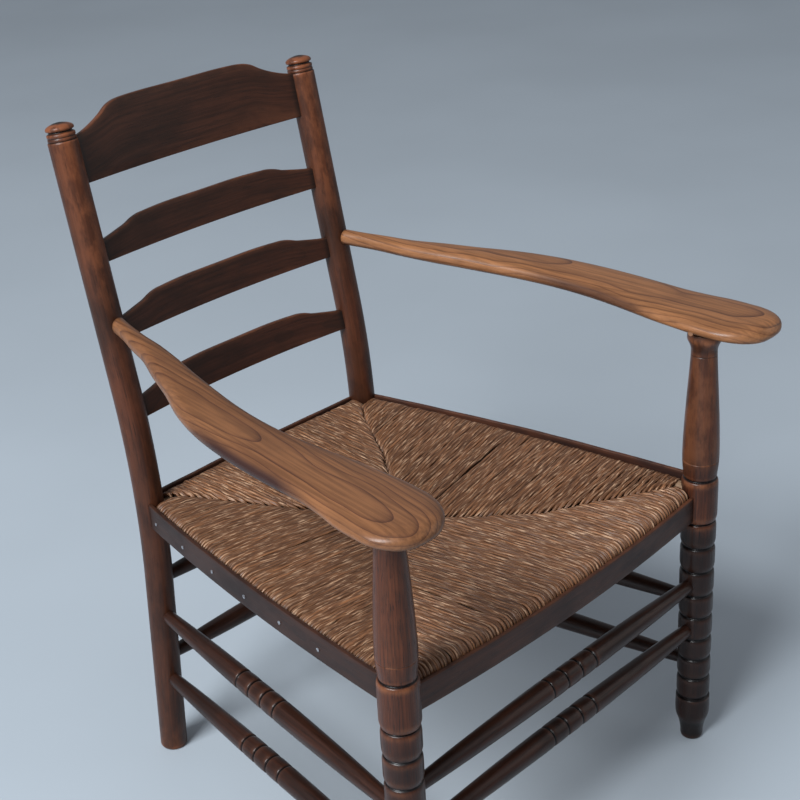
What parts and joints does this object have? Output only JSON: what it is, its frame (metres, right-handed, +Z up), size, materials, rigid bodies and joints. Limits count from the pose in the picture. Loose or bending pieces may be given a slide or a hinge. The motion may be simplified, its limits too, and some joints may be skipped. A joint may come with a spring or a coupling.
{
  "type": "ladderback armchair with rush seat",
  "caption": "Turned wooden armchair with a ladder back of bowed slats, shaped flat arms on bobbin-turned front legs, turned stretchers and a woven rush seat edged with wooden strips.",
  "frame": {"origin": "middle of the bounding box at floor level", "axes": "+Z up, the chair faces -Y, left is -X as seen from the front"},
  "size_m": [0.7052, 0.7088, 0.8926],
  "materials": {
    "back_post_wood": "worn dark stain and polish, red-brown",
    "turned_post_wood": "polished red-brown stain with dark grooves",
    "arm_wood": "waxed honey-brown, worn smooth",
    "slat_wood": "near black stain, satin",
    "rail_wood": "bare, hidden under the rush",
    "strip_wood": "dark satin stain with worn arris",
    "stretcher_wood": "dark polished stain",
    "rush": "twisted natural rush, golden brown",
    "nail_steel": "dull worn steel",
    "peg_wood": "waxed end grain"
  },
  "bodies": {
    "root": {"back_post_left": "back_post_wood", "front_post_left": "turned_post_wood", "arm_left": "arm_wood", "back_post_right": "back_post_wood", "front_post_right": "turned_post_wood", "arm_right": "arm_wood", "crest_slat": "slat_wood", "upper_slat": "slat_wood", "middle_slat": "slat_wood", "lower_slat": "slat_wood", "seat_rail_front": "rail_wood", "edge_strip_front": "strip_wood", "seat_rail_rear": "rail_wood", "edge_strip_rear": "strip_wood", "seat_rail_left": "rail_wood", "edge_strip_left": "strip_wood", "seat_rail_right": "rail_wood", "edge_strip_right": "strip_wood", "stretcher_front_upper": "stretcher_wood", "stretcher_front_lower": "stretcher_wood", "stretcher_left_upper": "stretcher_wood", "stretcher_left_lower": "stretcher_wood", "stretcher_right_upper": "stretcher_wood", "stretcher_right_lower": "stretcher_wood", "stretcher_rear_upper": "stretcher_wood", "stretcher_rear_lower": "stretcher_wood", "rush_seat": "rush", "strip_nails": "nail_steel", "arm_pegs": "peg_wood"}
  },
  "joints": []
}
